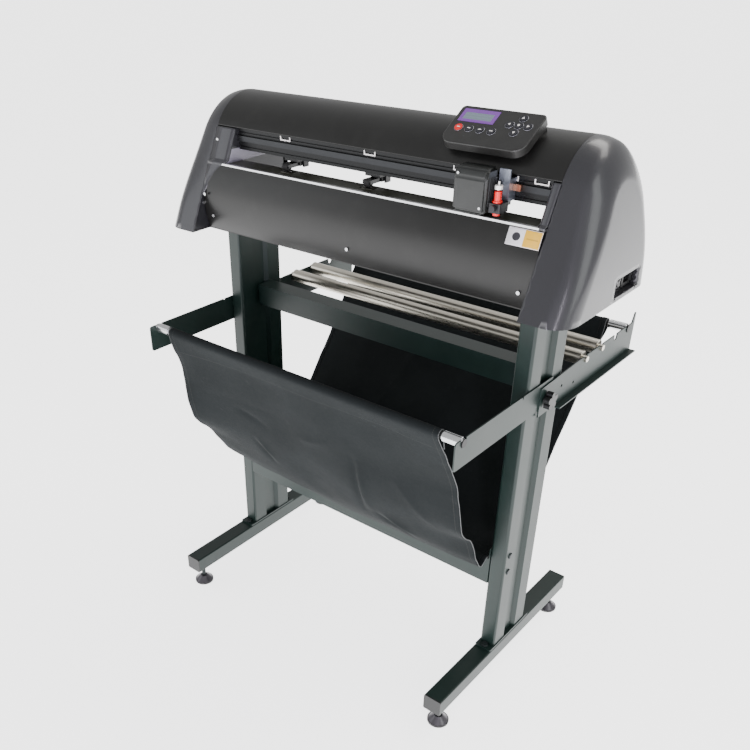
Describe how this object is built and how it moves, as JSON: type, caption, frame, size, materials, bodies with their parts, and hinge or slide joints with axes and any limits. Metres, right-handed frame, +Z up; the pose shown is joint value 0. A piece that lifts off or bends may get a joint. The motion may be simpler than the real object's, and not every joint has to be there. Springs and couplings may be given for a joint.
{
  "type": "vinyl cutter",
  "caption": "Roll-fed vinyl cutter on a floor stand, with rounded end caps, a sliding blade carriage, a tilted control pod, media rollers and a hanging fabric catch basket.",
  "frame": {"origin": "centre of the base at floor level, midway between the feet and midway along the whole depth", "axes": "+X to the operator's right, +Y towards the rear, +Z up"},
  "size_m": [0.93, 0.672, 1.1421],
  "materials": {
    "stand_paint": "fine textured powder coat, half matt",
    "cap_plastic": "moulded, metallic charcoal, satin",
    "cover_paint": "powder coat, half matt",
    "fabric": "woven, matt",
    "roller_steel": "drawn tube, satin",
    "steel": "zinc plated",
    "platen_paint": "satin",
    "aluminium": "dark anodised beam, bright strip",
    "rubber": "matt",
    "red_metal": "anodised red",
    "red_plastic": "glossy",
    "key_plastic": "satin",
    "display": "clear window over a display",
    "electrics": "satin",
    "black_plastic": "satin"
  },
  "bodies": {
    "frame": {"base_pan": "cover_paint", "basket_rods": "steel", "beam": "aluminium", "catch_basket": "fabric", "column_left": "stand_paint", "column_plates": "stand_paint", "column_right": "stand_paint", "control_pod": "black_plastic", "crossbars": "stand_paint", "cutting_strip": "aluminium", "drive_belts": "rubber", "end_cap_left": "cap_plastic", "end_cap_right": "cap_plastic", "foot_beam_caps": "black_plastic", "foot_beam_left": "stand_paint", "foot_beam_right": "stand_paint", "front_arms": "stand_paint", "front_cover": "cover_paint", "inner_electrics": "electrics", "levelling_feet": "steel", "mains_inlet": "black_plastic", "platen": "platen_paint", "pod_display": "display", "rear_cover": "cover_paint", "roll_brackets": "stand_paint", "screws": "steel", "side_plates": "steel", "socket_panel": "steel", "top_cover": "cover_paint"},
    "front_media_roller": {"media_roller_front": "roller_steel"},
    "rear_media_roller": {"media_roller_rear": "roller_steel"},
    "right_knob": {"clamp_knob_right": "black_plastic"},
    "left_knob": {"clamp_knob_left": "black_plastic"},
    "feed_shaft": {"grit_shaft": "steel"},
    "feed_motor_shaft": {"driver_pulley": "steel"},
    "carriage": {"carriage_frame": "black_plastic", "carriage_cover": "black_plastic"},
    "tool": {"tool_clamp": "black_plastic", "blade_holder": "red_metal"},
    "left_belt_pulley": {"carriage_pulley_left": "steel"},
    "right_belt_pulley": {"carriage_pulley_right": "steel"},
    "mains_switch": {"switch_rocker": "black_plastic"},
    "pinch_slider_1": {"pinch_block_1": "black_plastic"},
    "pinch_lever_1": {"pinch_arm_1": "black_plastic"},
    "pinch_roller_1": {"pinch_wheel_1": "rubber"},
    "pinch_slider_2": {"pinch_block_2": "black_plastic"},
    "pinch_lever_2": {"pinch_arm_2": "black_plastic"},
    "pinch_roller_2": {"pinch_wheel_2": "rubber"},
    "pinch_slider_3": {"pinch_block_3": "black_plastic"},
    "pinch_lever_3": {"pinch_arm_3": "black_plastic"},
    "pinch_roller_3": {"pinch_wheel_3": "rubber"},
    "key_down": {"button_down": "key_plastic"},
    "key_enter": {"button_enter": "key_plastic"},
    "key_left": {"button_left": "key_plastic"},
    "key_right": {"button_right": "key_plastic"},
    "key_row_1": {"button_row_1": "red_plastic"},
    "key_row_2": {"button_row_2": "key_plastic"},
    "key_row_3": {"button_row_3": "key_plastic"},
    "key_row_4": {"button_row_4": "key_plastic"},
    "key_up": {"button_up": "key_plastic"}
  },
  "joints": [
    {"name": "front_roller_spin", "type": "hinge", "parent": "frame", "child": "front_media_roller", "pos_m": [0, 0.115, 0.69], "axis": [1, 0, 0], "continuous": true},
    {"name": "rear_roller_spin", "type": "hinge", "parent": "frame", "child": "rear_media_roller", "pos_m": [0, 0.183, 0.69], "axis": [1, 0, 0], "continuous": true},
    {"name": "right_knob_turn", "type": "hinge", "parent": "frame", "child": "right_knob", "pos_m": [0.38, -0.036, 0.664], "axis": [1, 0, 0], "continuous": true},
    {"name": "left_knob_turn", "type": "hinge", "parent": "frame", "child": "left_knob", "pos_m": [-0.38, -0.036, 0.664], "axis": [1, 0, 0], "continuous": true},
    {"name": "feed_shaft_spin", "type": "hinge", "parent": "frame", "child": "feed_shaft", "pos_m": [0, -0.096, 0.986], "axis": [1, 0, 0], "continuous": true},
    {"name": "feed_motor_spin", "type": "hinge", "parent": "frame", "child": "feed_motor_shaft", "pos_m": [0.4, -0.056, 0.93], "axis": [1, 0, 0], "continuous": true},
    {"name": "carriage_slide", "type": "slide", "parent": "frame", "child": "carriage", "axis": [1, 0, 0], "range_m": [-0.545, 0.045]},
    {"name": "left_pulley_spin", "type": "hinge", "parent": "frame", "child": "left_belt_pulley", "pos_m": [-0.351, -0.054, 1.039], "axis": [0, 0, 1], "range_deg": [-4300, 400]},
    {"name": "right_pulley_spin", "type": "hinge", "parent": "frame", "child": "right_belt_pulley", "pos_m": [0.351, -0.054, 1.039], "axis": [0, 0, 1], "range_deg": [-4300, 400]},
    {"name": "tool_drop", "type": "slide", "parent": "carriage", "child": "tool", "axis": [0, 0, 1], "range_m": [-0.0032, 0], "stiffness_N_per_m": 200, "springref_m": 0.008},
    {"name": "pinch_slide_1", "type": "slide", "parent": "frame", "child": "pinch_slider_1", "axis": [1, 0, 0], "range_m": [-0.03, 0.03]},
    {"name": "pinch_lift_1", "type": "hinge", "parent": "pinch_slider_1", "child": "pinch_lever_1", "pos_m": [-0.195, -0.058, 1.007], "axis": [-1, 0, 0], "range_deg": [0, 6], "stiffness_Nm_per_rad": 0.5, "springref_deg": -17.19},
    {"name": "pinch_spin_1", "type": "hinge", "parent": "pinch_lever_1", "child": "pinch_roller_1", "pos_m": [-0.195, -0.096, 1.0043], "axis": [1, 0, 0], "continuous": true},
    {"name": "pinch_slide_2", "type": "slide", "parent": "frame", "child": "pinch_slider_2", "axis": [1, 0, 0], "range_m": [-0.03, 0.03]},
    {"name": "pinch_lift_2", "type": "hinge", "parent": "pinch_slider_2", "child": "pinch_lever_2", "pos_m": [0.005, -0.058, 1.007], "axis": [-1, 0, 0], "range_deg": [0, 6], "stiffness_Nm_per_rad": 0.5, "springref_deg": -17.19},
    {"name": "pinch_spin_2", "type": "hinge", "parent": "pinch_lever_2", "child": "pinch_roller_2", "pos_m": [0.005, -0.096, 1.0043], "axis": [1, 0, 0], "continuous": true},
    {"name": "pinch_slide_3", "type": "slide", "parent": "frame", "child": "pinch_slider_3", "axis": [1, 0, 0], "range_m": [-0.03, 0.03]},
    {"name": "pinch_lift_3", "type": "hinge", "parent": "pinch_slider_3", "child": "pinch_lever_3", "pos_m": [0.255, -0.058, 1.007], "axis": [-1, 0, 0], "range_deg": [0, 6], "stiffness_Nm_per_rad": 0.5, "springref_deg": -17.19},
    {"name": "pinch_spin_3", "type": "hinge", "parent": "pinch_lever_3", "child": "pinch_roller_3", "pos_m": [0.255, -0.096, 1.0043], "axis": [1, 0, 0], "continuous": true},
    {"name": "key_down_press", "type": "slide", "parent": "frame", "child": "key_down", "axis": [0, 0.515, -0.8572], "range_m": [0, 0.001], "stiffness_N_per_m": 300, "springref_m": -0.0008},
    {"name": "key_enter_press", "type": "slide", "parent": "frame", "child": "key_enter", "axis": [0, 0.515, -0.8572], "range_m": [0, 0.001], "stiffness_N_per_m": 300, "springref_m": -0.0008},
    {"name": "key_left_press", "type": "slide", "parent": "frame", "child": "key_left", "axis": [0, 0.515, -0.8572], "range_m": [0, 0.001], "stiffness_N_per_m": 300, "springref_m": -0.0008},
    {"name": "key_right_press", "type": "slide", "parent": "frame", "child": "key_right", "axis": [0, 0.515, -0.8572], "range_m": [0, 0.001], "stiffness_N_per_m": 300, "springref_m": -0.0008},
    {"name": "key_row_1_press", "type": "slide", "parent": "frame", "child": "key_row_1", "axis": [0, 0.515, -0.8572], "range_m": [0, 0.001], "stiffness_N_per_m": 300, "springref_m": -0.0008},
    {"name": "key_row_2_press", "type": "slide", "parent": "frame", "child": "key_row_2", "axis": [0, 0.515, -0.8572], "range_m": [0, 0.001], "stiffness_N_per_m": 300, "springref_m": -0.0008},
    {"name": "key_row_3_press", "type": "slide", "parent": "frame", "child": "key_row_3", "axis": [0, 0.515, -0.8572], "range_m": [0, 0.001], "stiffness_N_per_m": 300, "springref_m": -0.0008},
    {"name": "key_row_4_press", "type": "slide", "parent": "frame", "child": "key_row_4", "axis": [0, 0.515, -0.8572], "range_m": [0, 0.001], "stiffness_N_per_m": 300, "springref_m": -0.0008},
    {"name": "key_up_press", "type": "slide", "parent": "frame", "child": "key_up", "axis": [0, 0.515, -0.8572], "range_m": [0, 0.001], "stiffness_N_per_m": 300, "springref_m": -0.0008},
    {"name": "mains_switch_rock", "type": "hinge", "parent": "frame", "child": "mains_switch", "pos_m": [0.449, 0.016, 0.888], "axis": [0, 1, 0], "range_deg": [-8, 8]}
  ],
  "couplings": [
    {"joint": "feed_motor_spin", "follows": "feed_shaft_spin", "ratio": 2},
    {"joint": "left_pulley_spin", "follows": "carriage_slide", "rad_per_m": 125},
    {"joint": "right_pulley_spin", "follows": "carriage_slide", "rad_per_m": 125}
  ]
}
